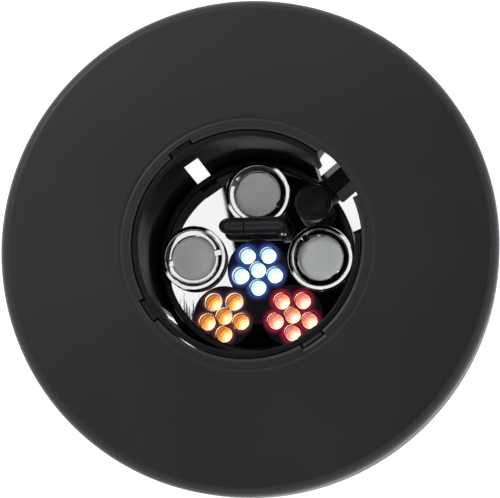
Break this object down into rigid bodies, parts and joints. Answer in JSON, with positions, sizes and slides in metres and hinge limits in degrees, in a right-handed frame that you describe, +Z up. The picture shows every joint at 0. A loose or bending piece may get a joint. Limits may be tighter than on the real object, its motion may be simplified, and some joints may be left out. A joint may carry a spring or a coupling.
{
  "type": "floating pond fogger light",
  "caption": "Ring float with a basket hung in its hole, holding a round polished head with mist transducers, coloured LED clusters, a level switch and a cable gland.",
  "frame": {"origin": "middle of the underside of the basket floor, on the float's axis", "axes": "+Z up, the way the lights face; +Y towards the transducer behind the level switch; +X towards the transducer beside the cable gland"},
  "size_m": [0.19, 0.19, 0.07],
  "materials": {
    "float_skin": "fine matt black skin",
    "foam": "closed-cell foam",
    "gloss_black": "glossy black moulding",
    "satin_black": "satin black moulding",
    "level_float": "satin black capsule",
    "mirror_steel": "mirror-polished steel",
    "chrome": "bright chrome",
    "ceramic": "grey glazed ceramic",
    "rubber": "black rubber",
    "spring_steel": "plated spring wire",
    "circuit_board": "green solder mask",
    "magnet": "sintered magnet",
    "reed_glass": "clear glass tube",
    "led_blue": "lit clear lens, blue light",
    "led_amber": "lit clear lens, amber light",
    "led_red": "lit clear lens, red light"
  },
  "bodies": {
    "root": {"float_top_shell": "float_skin", "float_bottom_shell": "float_skin", "float_foam_core": "foam", "basket": "gloss_black", "head_housing": "satin_black", "face_plate": "mirror_steel", "led_panel": "gloss_black", "bottom_cover": "satin_black", "bottom_seal": "rubber", "driver_board": "circuit_board", "led_board": "circuit_board", "cable_elbow": "gloss_black", "cable_bush": "rubber", "level_bracket": "gloss_black", "hinge_pin": "chrome", "reed_switch": "reed_glass", "cover_screw_1": "chrome", "transducer_collar_1": "chrome", "ceramic_gasket_1": "rubber", "ceramic_disc_1": "ceramic", "contact_spring_1": "spring_steel", "cover_screw_2": "chrome", "transducer_collar_2": "chrome", "ceramic_gasket_2": "rubber", "ceramic_disc_2": "ceramic", "contact_spring_2": "spring_steel", "cover_screw_3": "chrome", "transducer_collar_3": "chrome", "ceramic_gasket_3": "rubber", "ceramic_disc_3": "ceramic", "contact_spring_3": "spring_steel", "led_blue_1": "led_blue", "led_blue_2": "led_blue", "led_blue_3": "led_blue", "led_blue_4": "led_blue", "led_blue_5": "led_blue", "led_blue_6": "led_blue", "led_amber_1": "led_amber", "led_amber_2": "led_amber", "led_amber_3": "led_amber", "led_amber_4": "led_amber", "led_amber_5": "led_amber", "led_amber_6": "led_amber", "led_red_1": "led_red", "led_red_2": "led_red", "led_red_3": "led_red", "led_red_4": "led_red", "led_red_5": "led_red", "led_red_6": "led_red"},
    "retaining_ring_1_body": {"retaining_ring_1": "chrome"},
    "retaining_ring_2_body": {"retaining_ring_2": "chrome"},
    "retaining_ring_3_body": {"retaining_ring_3": "chrome"},
    "gland_nut_body": {"gland_nut": "satin_black"},
    "level_float": {"level_float_body": "level_float", "level_float_cap": "level_float", "level_magnet": "magnet"}
  },
  "joints": [
    {"name": "level_float_hinge", "type": "hinge", "parent": "root", "child": "level_float", "pos_m": [0.011, 0.0116, 0.039], "axis": [0, 1, 0], "range_deg": [0, 35]},
    {"name": "retaining_ring_1_turn", "type": "hinge", "parent": "root", "child": "retaining_ring_1_body", "pos_m": [0.00044, 0.0252, 0.0328], "axis": [0, 0, 1], "continuous": true},
    {"name": "retaining_ring_2_turn", "type": "hinge", "parent": "root", "child": "retaining_ring_2_body", "pos_m": [-0.0252, 0, 0.0328], "axis": [0, 0, 1], "continuous": true},
    {"name": "retaining_ring_3_turn", "type": "hinge", "parent": "root", "child": "retaining_ring_3_body", "pos_m": [0.02518, -0.00088, 0.0328], "axis": [0, 0, 1], "continuous": true},
    {"name": "gland_nut_turn", "type": "hinge", "parent": "root", "child": "gland_nut_body", "pos_m": [0.0234, 0.0198, 0.037], "axis": [0.766, 0.6428, 0], "continuous": true}
  ]
}
